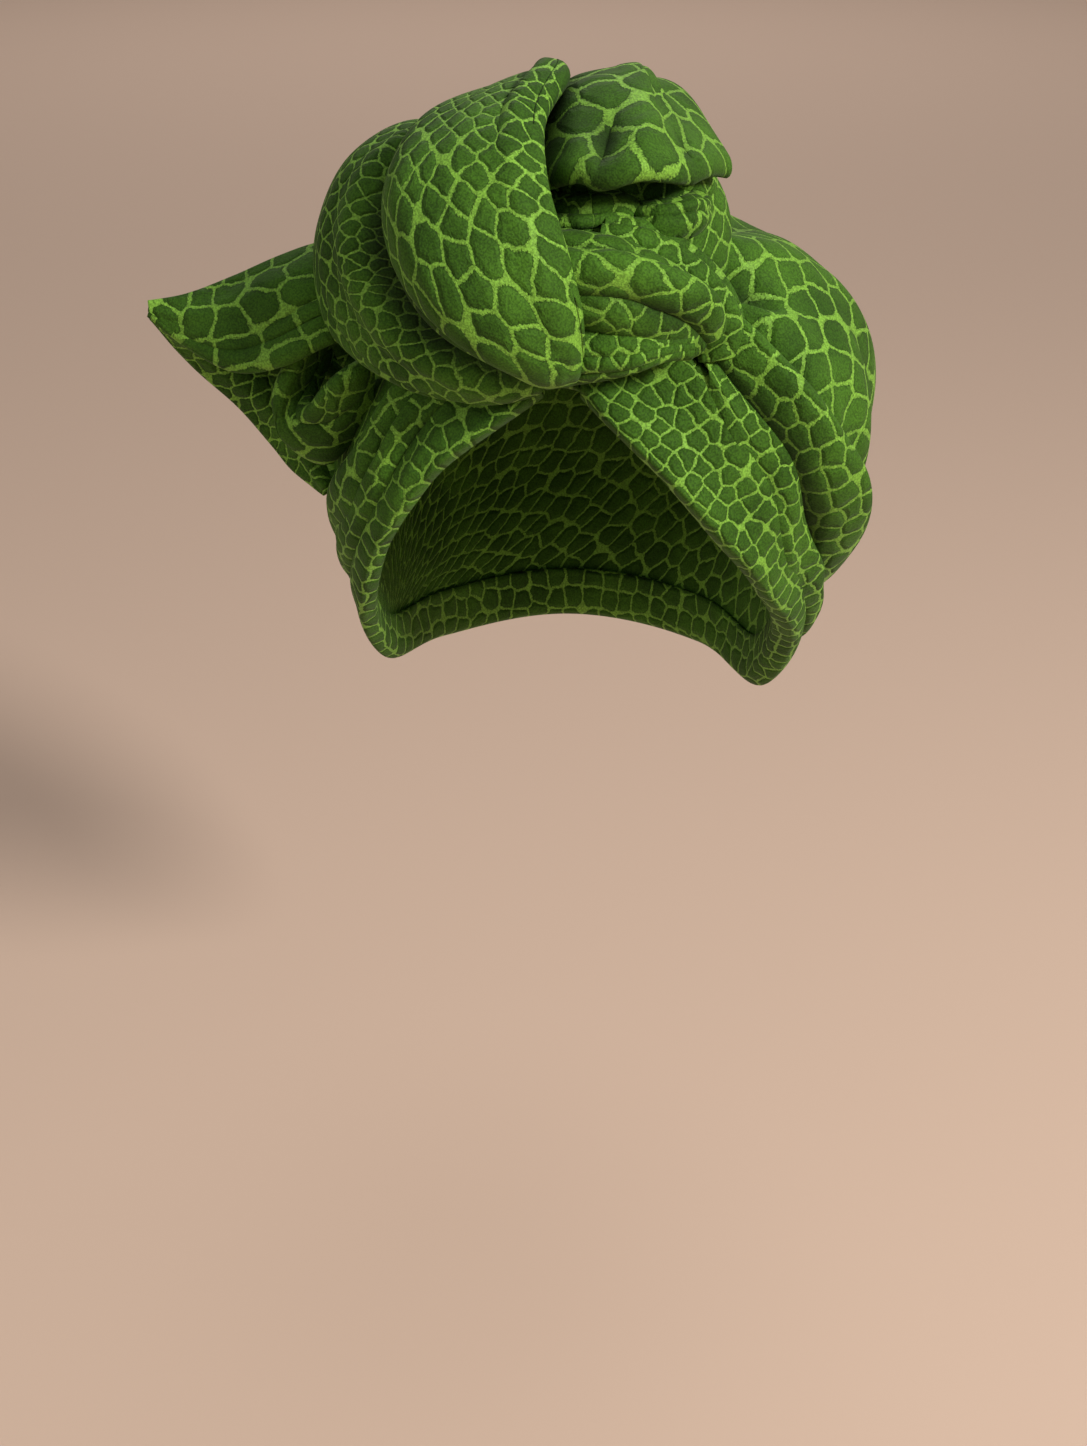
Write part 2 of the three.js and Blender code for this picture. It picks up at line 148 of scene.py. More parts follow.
BAND_MIDDLE = [
    [-30, 44, 53, 0.1, 0.3],
    [-42, 32, 44, 0.2, 0.45],
    [-52, 14, 28, 0.2, 0.45],
    [-72, -6, 8, 0.2, 0.35],
    [-104, -27, -12, 0.2, 0.35],
    [-140, -32, -14, 0.2, 0.5],
    [-180, -30, -12, 0.3, 0.6],
    [-220, -32, -14, 0.3, 0.7],
    [-256, -36, -20, 0.4, 0.8],
    [-272, -31, -17, 0.4, 0.75],
    [-290, -16, -4, 0.3, 0.7],
    [-305, -4, 11, 0.2, 0.5],
    [-314, 8, 25, 0.1, 0.4],
    [-324, 24, 39, 0.1, 0.4],
    [-331, 38, 51, 0.1, 0.4],
]
BAND_UPPER = [
    [-40, 42, 54, 0.1, 0.3],
    [-50, 28, 44, 0.2, 0.5],
    [-62, 8, 26, 0.2, 0.5],
    [-80, -6, 12, 0.1, 0.35],
    [-104, -14, 4, 0.1, 0.35],
    [-140, -20, 0, 0.2, 0.5],
    [-180, -22, 0, 0.3, 0.7],
    [-220, -22, -2, 0.1, 0.95],
    [-256, -26, -5, 0.0, 1.0],
    [-272, -21, -1, 0.0, 1.0],
    [-290, -8, 9, 0.3, 0.95],
    [-303, 9, 22, 0.5, 0.9],
    [-311, 19, 32, 0.5, 0.9],
    [-318, 29, 43, 0.5, 0.85],
    [-325, 39, 54, 0.4, 0.7],
    [-333, 50, 63, 0.2, 0.5],
]

# Columns: one edge x y z, other edge x y z, arch, layers.
KNOT_CORE = [
    [-0.5, 0.16, 0.08, -0.46, 0.5, 0.06, 0, 8],
    [-0.36, 0, 0.12, -0.32, 0.58, 0.1, 0, 24],
    [-0.2, -0.14, 0.15, -0.16, 0.68, 0.12, 0, 38],
    [0, -0.18, 0.17, 0.02, 0.72, 0.13, 0, 44],
    [0.14, -0.14, 0.16, 0.16, 0.7, 0.13, 0, 42],
    [0.26, -0.02, 0.12, 0.28, 0.62, 0.1, 0, 32],
    [0.34, 0.1, 0.06, 0.36, 0.46, 0.06, 0, 12],
]
KNOT_DRAPE = [
    [-0.16, 0.94, 0.04, 0.0, 0.92, 0.06, 0.02, 1.4],
    [-0.22, 0.84, 0.3, -0.02, 0.78, 0.4, 0.02, 1.4],
    [-0.26, 0.6, 0.42, -0.04, 0.49, 0.6, 0.02, 1.4],
    [-0.27, 0.33, 0.48, -0.02, 0.11, 0.66, 0.04, 1.4],
    [-0.36, 0.1, 0.44, -0.07, -0.23, 0.58, 0.1, 1.4],
    [-0.41, -0.12, 0.32, -0.06, -0.47, 0.44, 0.18, 1.4],
    [-0.38, -0.33, 0.17, -0.01, -0.58, 0.26, 0.18, 1.4],
    [-0.29, -0.45, 0.06, 0.02, -0.58, 0.12, 0.14, 1.4],
    [-0.14, -0.48, -0.02, 0.03, -0.51, 0.01, 0.08, 1.6],
    [-0.05, -0.4, -0.07, 0.03, -0.38, -0.07, 0.02, 1.6],
]
KNOT_ROLL = [
    [-0.2, 0.88, 0.06, -0.12, 0.86, 0.1, 0.04, 2.5],
    [-0.27, 0.74, 0.32, -0.18, 0.66, 0.36, 0.06, 2.5],
    [-0.37, 0.53, 0.45, -0.26, 0.25, 0.42, 0.06, 2.5],
    [-0.5, 0.5, 0.36, -0.34, -0.02, 0.36, 0.1, 2.5],
    [-0.57, 0.52, 0.19, -0.36, -0.2, 0.25, 0.13, 2.5],
    [-0.59, 0.48, 0.05, -0.32, -0.33, 0.14, 0.13, 2.5],
    [-0.56, 0.3, -0.05, -0.24, -0.42, 0.05, 0.12, 2.5],
    [-0.45, 0.06, -0.12, -0.14, -0.46, -0.01, 0.1, 2.5],
    [-0.3, -0.12, -0.14, -0.06, -0.44, -0.05, 0.07, 2.5],
    [-0.12, -0.25, -0.12, 0.0, -0.37, -0.06, 0.03, 2.5],
]
KNOT_LOBE = [
    [-0.08, -0.1, 0.4, -0.1, 0.8, 0.03, 0.48, 1.4],
    [0.03, -0.38, 0.48, 0, 0.82, 0.03, 0.56, 1.4],
    [0.12, -0.45, 0.48, 0.1, 0.82, 0.03, 0.56, 1.4],
    [0.21, -0.38, 0.47, 0.19, 0.8, 0.02, 0.6, 1.4],
    [0.28, -0.22, 0.46, 0.26, 0.76, 0.02, 0.65, 1.4],
    [0.33, -0.04, 0.45, 0.31, 0.7, 0.02, 0.65, 1.4],
    [0.37, 0.1, 0.43, 0.35, 0.64, 0.02, 0.56, 1.4],
]
KNOT_SIDE = [
    [0.24, 0.1, 0.22, 0.23, 0.02, 0.42, 0.02, 3],
    [0.29, 0.18, 0.2, 0.28, 0.12, 0.42, 0.06, 3],
    [0.33, 0.34, 0.18, 0.32, 0.28, 0.4, 0.06, 3],
    [0.34, 0.56, 0.1, 0.33, 0.5, 0.32, 0.04, 3],
]
KNOT_TWIST = [
    [-0.08, -0.4, 0.1, -0.1, -0.3, 0.3, 0.04, 8],
    [0.09, -0.49, 0.08, 0.06, -0.32, 0.28, 0.08, 9],
    [0.17, -0.46, 0.05, 0.16, -0.3, 0.24, 0.1, 9],
    [0.24, -0.4, 0.02, 0.25, -0.24, 0.16, 0.08, 9],
    [0.3, -0.32, -0.02, 0.3, -0.22, 0.06, 0.04, 7],
]
KNOT_TWIST_UPPER = [
    [0.06, -0.3, 0.24, 0.08, -0.16, 0.28, 0.03, 6],
    [0.16, -0.3, 0.2, 0.18, -0.1, 0.24, 0.06, 7],
    [0.26, -0.26, 0.12, 0.28, -0.06, 0.17, 0.07, 7],
    [0.32, -0.22, 0.02, 0.35, -0.06, 0.06, 0.06, 7],
    [0.33, -0.22, -0.06, 0.37, -0.1, -0.04, 0.03, 6],
]
KNOT_LEAF = [
    [-0.04, -0.2, 0.24, -0.04, -0.14, 0.36, 0.02, 3],
    [0.04, -0.24, 0.26, 0.04, -0.18, 0.36, 0.04, 3],
    [0.11, -0.2, 0.27, 0.11, -0.12, 0.36, 0.04, 3],
    [0.17, -0.08, 0.24, 0.17, 0.0, 0.32, 0.02, 3],
]
KNOT_COIL = [
    [0.17, -0.18, 0.27, 0.17, -0.1, 0.33, 0.02, 3],
    [0.22, -0.21, 0.26, 0.22, -0.12, 0.34, 0.05, 4],
    [0.27, -0.14, 0.26, 0.27, -0.05, 0.34, 0.05, 4],
    [0.31, 0, 0.26, 0.31, 0.06, 0.34, 0.02, 3],
]
KNOT_TUCK = [
    [-0.04, -0.34, -0.1, -0.04, -0.42, 0.06, 0.04, 4],
    [0.1, -0.36, -0.06, 0.09, -0.44, 0.07, 0.06, 5],
    [0.2, -0.38, -0.02, 0.19, -0.42, 0.06, 0.05, 4],
    [0.28, -0.34, -0.02, 0.28, -0.36, 0.05, 0.02, 3],
]
TAIL_TOP = [
    [-1.04, 0.17, 0.21, -1.04, 0.17, 0.24, 0.0, 1],
    [-0.86, 0.05, 0.11, -0.86, 0.2, 0.26, 0.04, 1],
    [-0.64, -0.16, 0.05, -0.65, 0.28, 0.32, 0.08, 1],
    [-0.42, -0.3, 0.09, -0.44, 0.36, 0.39, 0.12, 1],
    [-0.21, -0.3, 0.17, -0.25, 0.4, 0.44, 0.12, 1],
    [0.02, -0.2, 0.22, 0.0, 0.3, 0.48, 0.08, 1],
]
TAIL_UNDER = [
    [-1.03, 0.22, 0.19, -1.02, 0.24, 0.21, 0.0, 1],
    [-0.86, 0.45, -0.03, -0.7, 0.5, 0.18, 0.04, 1],
    [-0.68, 0.55, -0.2, -0.4, 0.6, 0.14, 0.08, 1],
    [-0.54, 0.55, -0.35, -0.2, 0.6, 0.04, 0.08, 1],
    [-0.44, 0.45, -0.44, -0.14, 0.5, -0.14, 0.04, 1],
    [-0.34, 0.36, -0.5, -0.17, 0.42, -0.36, 0.03, 1],
    [-0.28, 0.32, -0.54, -0.2, 0.36, -0.47, 0.02, 1],
]
TAIL_LOOP = [
    [-0.23, 0.03, 0.2, -0.14, 0.5, 0.16, 0.0, 1.4],
    [-0.35, -0.1, 0.04, -0.24, 0.4, 0.0, 0.0, 1.4],
    [-0.43, -0.15, -0.09, -0.3, 0.1, -0.1, 0.0, 1.4],
    [-0.43, -0.12, -0.24, -0.29, -0.3, -0.11, 0.0, 1.4],
    [-0.26, -0.05, -0.35, -0.19, -0.45, -0.03, 0.0, 1.4],
    [-0.13, -0.05, -0.26, -0.09, -0.45, 0.03, 0.0, 1.4],
    [-0.02, -0.1, -0.12, 0.0, -0.3, 0.06, 0.0, 1.4],
]
TAIL_CURL = [
    [-0.2, 0.15, 0.22, -0.12, 0.25, 0.2, 0.0, 2],
    [-0.17, 0.15, 0.07, -0.08, 0.3, 0.07, 0.03, 2],
    [-0.08, 0.1, -0.04, 0.0, 0.2, 0.0, 0.0, 2],
]

# Columns: start along and across, end along and across, width, height in millimetres.
DRAPE_LINES = [
    [0.36, -1.0, 0.95, -1.0, 0.1, -7],
    [0.2, 0.7, 0.52, 0.72, 0.16, -2.6],
    [0.2, 0.84, 0.9, 0.8, 0.12, 2.0],
    [0.66, -0.88, 0.97, -0.5, 0.1, -3.6],
    [0.4, -0.45, 0.8, -0.3, 0.3, 1.6],
    [0.35, 0.05, 0.75, 0.2, 0.3, -1.2],
]
ROLL_LINES = [
    [0.2, 0.8, 0.92, 0.86, 0.34, -10],
    [0.2, 1.0, 0.95, 1.0, 0.24, -8],
    [0.2, 0.38, 0.85, 0.46, 0.2, 3.6],
    [0.3, 0.05, 0.75, 0.1, 0.2, -1.6],
    [0.5, -0.45, 0.95, -0.3, 0.14, -1.6],
]
LOBE_LINES = [
    [0.3, -0.8, 0.24, -1.0, 0.16, -7],
    [0.6, -0.85, 0.66, -1.0, 0.12, -3],
    [0.42, -0.8, 0.44, -1.0, 0.2, 3],
    [0.1, -0.1, 0.2, -0.7, 0.3, -1.2],
    [0.35, 0.0, 0.32, -0.5, 0.3, 1.4],
    [0.75, -0.1, 0.8, -0.7, 0.3, -1.4],
]
SIDE_LINES = [
    [0.1, 0.5, 0.9, -0.4, 0.24, -2.6],
    [0.3, -0.1, 0.9, -0.8, 0.2, 1.6],
]
TWIST_LINES = [
    [0.05, -0.5, 0.97, -0.75, 0.2, -5.5],
    [0.0, 0.5, 0.97, 0.55, 0.18, -4.5],
    [0.2, 0.1, 0.9, 0.0, 0.3, 1.5],
]
TWIST_UPPER_LINES = [
    [0.0, -0.2, 1.0, 0.0, 0.2, -3.6],
    [0.3, 0.45, 1.0, 0.4, 0.2, -2.4],
]
LEAF_LINES = [
    [0.0, 0.3, 0.9, -0.3, 0.2, -4.5],
    [0.1, -0.35, 0.8, -0.8, 0.2, -3.0],
    [0.0, 0.0, 0.8, -0.5, 0.16, 2.0],
]
COIL_LINES = [
    [0.0, -0.2, 0.75, 0.1, 0.24, -6.0],
    [0.1, 0.5, 0.8, 0.7, 0.2, -3.0],
    [0.2, 0.2, 0.9, 0.4, 0.2, 1.6],
]
TUCK_LINES = [
    [0.0, -0.3, 1.0, -0.1, 0.12, -2.4],
    [0.0, 0.4, 1.0, 0.3, 0.12, -2.4],
]
TAIL_TOP_LINES = [
    [0.55, -0.45, 1.0, -0.2, 0.14, -2.0],
    [0.2, 0.2, 0.8, 0.3, 0.3, 1.8],
    [0.25, -0.72, 0.9, -0.62, 0.12, -2.4],
]
TAIL_UNDER_LINES = [
    [0.2, 0.1, 0.9, 0.3, 0.2, -4.0],
    [0.1, -0.6, 0.98, -0.6, 0.2, 3.0],
    [0.4, 0.6, 1.0, 0.7, 0.16, 2.4],
    [0.3, -0.2, 1.0, -0.15, 0.14, -3.0],
]
TAIL_LOOP_LINES = [
    [0.1, 0.2, 0.9, 0.2, 0.14, -2.0],
]

# Columns: width of a cell at one edge and at the other, its length, in millimetres.
LOWER_CELLS = [[8, 8, 8], [9, 9, 9], [9, 9, 9], [7.5, 7.5, 8.5], [5, 5, 6]]
MIDDLE_CELLS = [[8, 8, 9], [9, 9, 10], [9, 9, 10], [8, 8, 10], [5.5, 5.5, 6.5]]
DRAPE_CELLS = [
    [4, 4, 5],
    [3.5, 4.5, 4.5],
    [3, 5, 4.5],
    [3.2, 6.5, 6.5],
    [4.5, 8.5, 10],
    [5.5, 9.5, 15],
    [6.5, 9.5, 17],
    [6.5, 9, 17],
]
ROLL_CELLS = [[6, 6, 6], [5.5, 6, 6], [5.5, 6, 6], [6, 7, 7], [7, 8, 9]]
TWIST_CELLS = [[7, 7, 11], [8, 8, 12], [6.5, 6.5, 10]]
TAIL_CELLS = [[8, 8, 11], [10, 10, 13], [11, 11, 14]]


# Shapes

def smooth(t):
    t = np.clip(t, 0, 1)
    return t * t * (3 - 2 * t)


def unit(v):
    return v / np.maximum(np.linalg.norm(v, axis=-1, keepdims=True), 1e-9)


def direction(bearing, above):
    """The way from the head's centre at a bearing from the face and a height above it, in degrees."""
    a, e = np.radians(bearing), np.radians(above)
    return np.stack([np.sin(a) * np.cos(e), -np.cos(a) * np.cos(e), np.sin(e)], -1)


CENTRE = np.array([0, 0, -HEAD_CROWN])
RIM_ROUND = np.arange(-180, 181)
RIM_ABOVE = np.interp(RIM_ROUND, RIM[:, 0], RIM[:, 1])
for _ in range(6):
    RIM_ABOVE = (np.roll(RIM_ABOVE[:-1], 2) + RIM_ABOVE[:-1] + np.roll(RIM_ABOVE[:-1], -2)) / 3
    RIM_ABOVE = np.append(RIM_ABOVE, RIM_ABOVE[0])


def rim_above(bearing):
    return np.interp((np.asarray(bearing) + 180) % 360 - 180, RIM_ROUND, RIM_ABOVE)


def crown_radius(bearing, above):
    d = direction(bearing, above)
    tall = np.where(d[..., 2] >= 0, HEAD_CROWN, HEAD_TAPER)
    share = (d[..., 0] / (HEAD_WIDTH / 2)) ** 2 + (d[..., 1] / (HEAD_LENGTH / 2)) ** 2
    radius = 1 / np.sqrt(share + (d[..., 2] / tall) ** 2) + EASE + CLOTH
    fade = smooth((above - rim_above(bearing) - 4) / 30)
    for r, a, spread, height in BULGES:
        angle = np.degrees(np.arccos(np.clip(d @ direction(r, a), -1, 1)))
        radius = radius + fade * height * POUF * np.exp(-((angle / spread) ** 2))
    return radius


def crown_folds(bearing, above):
    d = direction(bearing, above)
    rise = np.zeros(d.shape[:-1])
    for r0, a0, r1, a1, width, height in CROWN_FOLDS:
        start, run = direction(r0, a0), direction(r1, a1) - direction(r0, a0)
        along = np.clip((d - start) @ run / (run @ run), 0, 1)
        away = np.degrees(np.linalg.norm(d - unit(start + along[..., None] * run), axis=-1))
        rise += height * np.exp(-((away / width) ** 2)) * np.sqrt(np.sin(math.pi * (0.1 + 0.8 * along)))
    return rise


def on_crown(bearing, above, lift):
    return direction(bearing, above) * (crown_radius(bearing, above) + lift)[..., None] + CENTRE


def rows_at(table, places):
    """Values between the rows of a table, on a smooth curve through every row."""
    table = np.array(table, float)
    last = len(table) - 1
    i = np.clip(np.floor(places).astype(int), 0, last - 1)
    t = (places - i)[:, None]
    p0, p1, p2, p3 = (table[np.clip(i + k, 0, last)] for k in (-1, 0, 1, 2))
    m1, m2 = (p2 - p0) / 2, (p3 - p1) / 2
    return (((2 * p1 - 2 * p2 + m1 + m2) * t - 3 * p1 + 3 * p2 - 2 * m1 - m2) * t + m1) * t + p1


def creases(share, across, lines):
    """Rise of each line of folds: start and end as shares along and across, width, height."""
    rise = np.zeros(np.broadcast(share, across).shape)
    for s0, t0, s1, t1, width, height in lines:
        run = np.array([(s1 - s0) * 2, t1 - t0])
        u, v = (share - s0) * 2, across - t0
        k = np.clip((u * run[0] + v * run[1]) / (run @ run), 0, 1)
        away = np.hypot(u - k * run[0], v - k * run[1]) / width
        shape = np.exp(-away ** 2) if height > 0 else np.exp(-1.3 * away)
        rise = rise + height * shape * np.sqrt(np.sin(math.pi * (0.08 + 0.84 * k)))
    return rise


def ripples(x, y, seed, size, height):
    """Soft uneven waves in cloth, the same each run."""
    rng = np.random.default_rng(seed)
    rise = np.zeros(np.shape(x))
    for _ in range(9):
        turn, phase = rng.uniform(0, 2 * math.pi, 2)
        step = size * rng.uniform(0.7, 1.6)
        rise = rise + np.sin((x * math.cos(turn) + y * math.sin(turn)) * 2 * math.pi / step + phase)
    return rise * height / 3


# Meshes

def corners(numbers):
    """The four corners of each quad in a grid of point numbers."""
    return np.stack([numbers[:-1, :-1], numbers[:-1, 1:], numbers[1:, 1:], numbers[1:, :-1]], -1)


def grid_object(name, points, cells, shade=None, closed=False):
    """A quad surface from rows of points, with its pattern laid out in cells of the cloth."""
    rows, columns = points.shape[:2]
    index = np.arange(rows * columns).reshape(rows, columns)
    if closed:
        index = np.concatenate([index, index[:1]])
    faces = corners(index).reshape(-1, 4)
    mesh = bpy.data.meshes.new(name)
    mesh.from_pydata((points.reshape(-1, 3) * METRES).tolist(), [], faces.tolist())
    laid = corners(np.arange(index.size).reshape(index.shape)).ravel()
    layer = mesh.uv_layers.new(name="cells")
    layer.uv.foreach_set("vector", cells.reshape(-1, 2)[laid].astype(np.float32).ravel())
    mesh.polygons.foreach_set("use_smooth", [True] * len(mesh.polygons))
    # Painted shade per point, which the cloth material reads to darken its colour.
    if shade is not None:
        values = mesh.attributes.new("shade", "FLOAT", "POINT").data
        values.foreach_set("value", shade.astype(np.float32).ravel())
    piece = bpy.data.objects.new(name, mesh)
    bpy.context.scene.collection.objects.link(piece)
    return piece


def thicken(piece, layers=1.0):
    wall = piece.modifiers.new("wall", "SOLIDIFY")
    wall.thickness = METRES * CLOTH * layers
    wall.offset = -1
    wall.use_even_offset = False
    wall.use_rim = True


def folded_shade(rise):
    """Painted shade in the cloth's colour: darker where a fold dips."""
    return 1 - SHADE_LOSS * smooth(-rise / SHADE_DEPTH)


def turned(cells, degrees, start):
    """Cells of the pattern, turned and started elsewhere."""
    a = math.radians(degrees)
    turn = np.array([[math.cos(a), -math.sin(a)], [math.sin(a), math.cos(a)]])
    return cells @ turn.T + np.array(start)


def spread_from(bearing, above, pole):
    """The crown's cloth laid flat round one point, by lengths over its surface."""
    d = direction(bearing, above)
    side = unit(np.cross([0, 0, 1], pole))
    up = np.cross(pole, side)
    angle = np.arccos(np.clip(d @ pole, -1, 1))
    spoke = unit(np.stack([d @ side, d @ up], -1))
    heading = spoke[..., :1] * side + spoke[..., 1:] * up
    length = np.zeros(angle.shape)
    last = None
    for k in np.linspace(0, 1, 17):
        turn = (angle * k)[..., None]
        way = pole * np.cos(turn) + heading * np.sin(turn)
        way_above = np.degrees(np.arcsin(np.clip(way[..., 2], -1, 1)))
        way_bearing = np.degrees(np.arctan2(way[..., 0], -way[..., 1]))
        place = on_crown(way_bearing, np.maximum(way_above, rim_above(way_bearing)), 0 * way_above)
        if last is not None:
            length += np.linalg.norm(place - last, axis=-1)
        last = place
    return spoke * length[..., None] * CROWN_SPREAD


def crown_piece():
    """The cloth over the head: one grid from its top to its rim."""
    ends = [CROWN_SEAM, CROWN_LEFT, CROWN_SEAM + 360]
    rounds = np.interp(np.linspace(0, 1, CROWN_ROUNDS), [0, BACK_SHARE, 1], ends)
    shares = np.linspace(0.004, 1, CROWN_ROWS)
    r, s = np.meshgrid(rounds, shares, indexing="ij")
    above = 90 - (90 - rim_above(r) - CROWN_INSET) * s
    lift = crown_folds(r, above)
    points = on_crown(r, above, lift)
    cells = turned(spread_from(r, above, direction(*POUF_TOP)) / CROWN_CELL, 35, (3.3, 7.1))
    # The crown's colour takes painted shade in its fold valleys.
    piece = grid_object("crown_cloth", points[:-1], cells, folded_shade(lift)[:-1], closed=True)
    thicken(piece)
    return piece


def pattern(points, size_rows):
    """Cells of the pattern over a patch: its rows run square to its length, whatever its edges do."""
    rows, columns = points.shape[:2]
    middle = columns // 2
    sizes = np.array(size_rows, float)
    share = np.linspace(0, 1, rows)
    known = np.linspace(0, 1, len(sizes))
    table = np.stack([np.interp(share, known, sizes[:, k]) for k in range(3)], -1)
    t = np.linspace(0, 1, columns)[None, :]
    size = table[:, 0:1] * (1 - t) + table[:, 1:2] * t
    across = np.diff(points, axis=1, prepend=points[:, :1])
    along = unit(np.gradient(points[:, middle], axis=0))[:, None]
    ahead = (across * along).sum(-1)
    aside = np.sqrt(np.maximum((across ** 2).sum(-1) - ahead ** 2, 0))
    u = np.cumsum(aside / size, 1)
    v = np.cumsum(ahead / table[:, 2:3], 1)
    step = np.linalg.norm(np.diff(points[:, middle], axis=0, prepend=points[:1, middle]), axis=-1)
    down = np.cumsum(step / table[:, 2])[:, None]
    return np.stack([u - u[:, middle:middle + 1], down + v - v[:, middle:middle + 1]], -1)


def fanned_pattern(points, size_rows):
    """Cells of the pattern over a patch that opens like a fan, by lengths in both directions."""
    wide, tall = size_rows[0][0], size_rows[0][2]
    middle_row, middle = points.shape[0] // 2, points.shape[1] // 2
    aside = np.cumsum(np.linalg.norm(np.diff(points, axis=1, prepend=points[:, :1]), axis=-1), 1)
    down = np.cumsum(np.linalg.norm(np.diff(points, axis=0, prepend=points[:1]), axis=-1), 0)
    aside = aside - aside[:, middle:middle + 1]
    down = down - down[middle_row:middle_row + 1]
    return np.stack([aside / wide, down / tall], -1)


def band_piece(name, table, size_rows, seed, wave=0.9, fullness=1.3, hem=False):
    """Folded cloth that lies round the crown, over whatever is below it."""
    rows = rows_at(table, np.linspace(0, len(table) - 1, BAND_STEPS))
    r, low, high, stand, lift = (rows[:, k:k + 1] for k in range(5))
    t = np.sin(np.linspace(-math.pi / 2, math.pi / 2, BAND_ROWS))[None, :]
    above = (low + high) / 2 + (high - low) / 2 * t
    swell = np.sqrt(np.clip(1 - t ** 2, 0, 1))
    rise = (stand * np.minimum(1, swell * 3) + lift * swell ** fullness) * FOLD_LIFT
    # Painted shade: the colour darkens toward both edges, where the band's walls drop into the grooves
    # between bands.
    shade = 0.25 + 0.75 * smooth(swell * 1.7) + 0 * rise
    share = np.linspace(0, 1, BAND_STEPS)[:, None]
    waves = ripples(share * 160, t * 16, seed, RIPPLE_LENGTH, wave)
    rise = np.maximum(rise + waves * np.minimum(1, swell * 1.6), LEAST_RISE)
    if hem:
        tuck = np.linspace(1, 0.05, HEM_ROWS)[None, :]
        under = low + HEM_TUCK * (1 - tuck) * np.ones_like(low)
        above = np.concatenate([under[:, ::-1], above], 1)
        rise = np.concatenate([-(CLOTH + HEM_DROP) * np.ones_like(under), rise], 1)
        rise[:, HEM_ROWS - 1] = -CLOTH - HEM_LIP
        # The hem turned under and the lower half of the band get no painted shade.
        shade = np.concatenate([np.ones_like(under), np.where(t < 0, 1, shade)], 1)
    points = on_crown(r + 0 * above, above, rise)
    cells = pattern(points, size_rows) + np.array((seed * 3.7, seed * 1.9))
    piece = grid_object(name, points, cells, shade)
    thicken(piece, BAND_WALL)
    return piece


def fold_piece(name, table, seat, size, size_rows, curl, seed, n, lines=(), wave=0.5, turn=45,
               layers=0.8, fan=False, dim=0.0):
    """A strip of cloth between two edges, arched outward, with its edges rolled under."""
    rows = rows_at(table, np.linspace(0, len(table) - 1, n[0]))
    one, other = rows[:, 0:3] * size + seat, rows[:, 3:6] * size + seat
    arch = rows[:, 6:7] * size[1]
    middle = (one + other) / 2
    along = np.gradient(middle, axis=0)
    for _ in range(6):
        along[1:-1] = (along[:-2] + along[1:-1] + along[2:]) / 3
    along = unit(along)
    width = other - one
    half = np.linalg.norm(width, axis=-1, keepdims=True) / 2
    width = unit(width)
    out = unit(np.cross(along, width))
    t = np.sin(np.linspace(-math.pi / 2, math.pi / 2, n[1]))[None, :]
    share = np.linspace(0, 1, n[0])[:, None]
    body = rows[:, 7:8] * CLOTH / 2
    rise = arch * (1 - t ** 2) + (body - layers) * np.sqrt(np.clip(1 - t ** 2, 0, 1))
    fold = creases(share, t, lines)
    # Painted shade: creases darken the colour, and the strip darkens toward its first edge as shadow in
    # the crease beside it.
    shade = folded_shade(fold) * (1 - dim * smooth((-0.8 - t) / 0.2))
    fold = fold + ripples(share * 45, t * half, seed, 20, wave) * np.sqrt(np.clip(1 - t ** 2, 0, 1))
    tilt = 2 * arch * t / np.maximum(half, 3)
    sideways = half * t + fold * tilt / np.hypot(tilt, 1)
    rise = rise + fold / np.hypot(tilt, 1)
    parts = [(sideways, rise, shade)]
    steep = np.hypot(half, 2 * arch + 2 * body)
    ahead, down = half / steep, (2 * arch + 2 * body) / steep
    for end, radius in ((-1, curl[0]), (1, curl[1])):
        phi = np.linspace(0, math.pi, CURL_ROWS)[1:][None, :]
        back = np.linspace(0, 1, 5)[1:][None, :]
        radius = radius * np.minimum(1, half / (4 * radius))
        forth = np.concatenate([radius * np.sin(phi), -back * np.minimum(half * 0.8, CURL_BACK)], 1)
        under = np.concatenate([radius * (1 - np.cos(phi)), 2 * radius + 0 * back], 1)
        last = -1 if end > 0 else 0
        x = sideways[:, last][:, None] + end * (ahead * forth - down * under)
        y = rise[:, last][:, None] - down * forth - ahead * under
        # Painted shade: the rolled edge darkens as it turns under, down to 0.4 on the cloth tucked
        # beneath.
        dark = np.concatenate([1 - 0.6 * smooth((phi - 1.2) / 2), 0.4 + 0 * back], 1)
        dark = shade[:, last][:, None] * dark
        if end > 0:
            parts = parts + [(x, y, dark)]
        else:
            parts = [(x[:, ::-1], y[:, ::-1], dark[:, ::-1])] + parts
    x, y, shade = (np.concatenate([p[k] for p in parts], 1) for k in range(3))
    points = middle[:, None] + width[:, None] * x[..., None] + out[:, None] * y[..., None]
    cells = fanned_pattern(points, size_rows) if fan else pattern(points, size_rows)
    piece = grid_object(name, points, turned(cells, turn, (seed * 5.3, seed * 2.1)), shade)
    thicken(piece, layers)
    return piece


# Cloth

CELL_DARK = (0.022, 0.068, 0.003, 1)
CELL_LIGHT = (0.046, 0.128, 0.008, 1)
BORDER = (0.155, 0.33, 0.036, 1)
BORDER_FLECK = (0.035, 0.09, 0.005, 1)
GRAIN_DARK = (0.62, 0.62, 0.6, 1)
GRAIN_LIGHT = (1.18, 1.18, 1.15, 1)
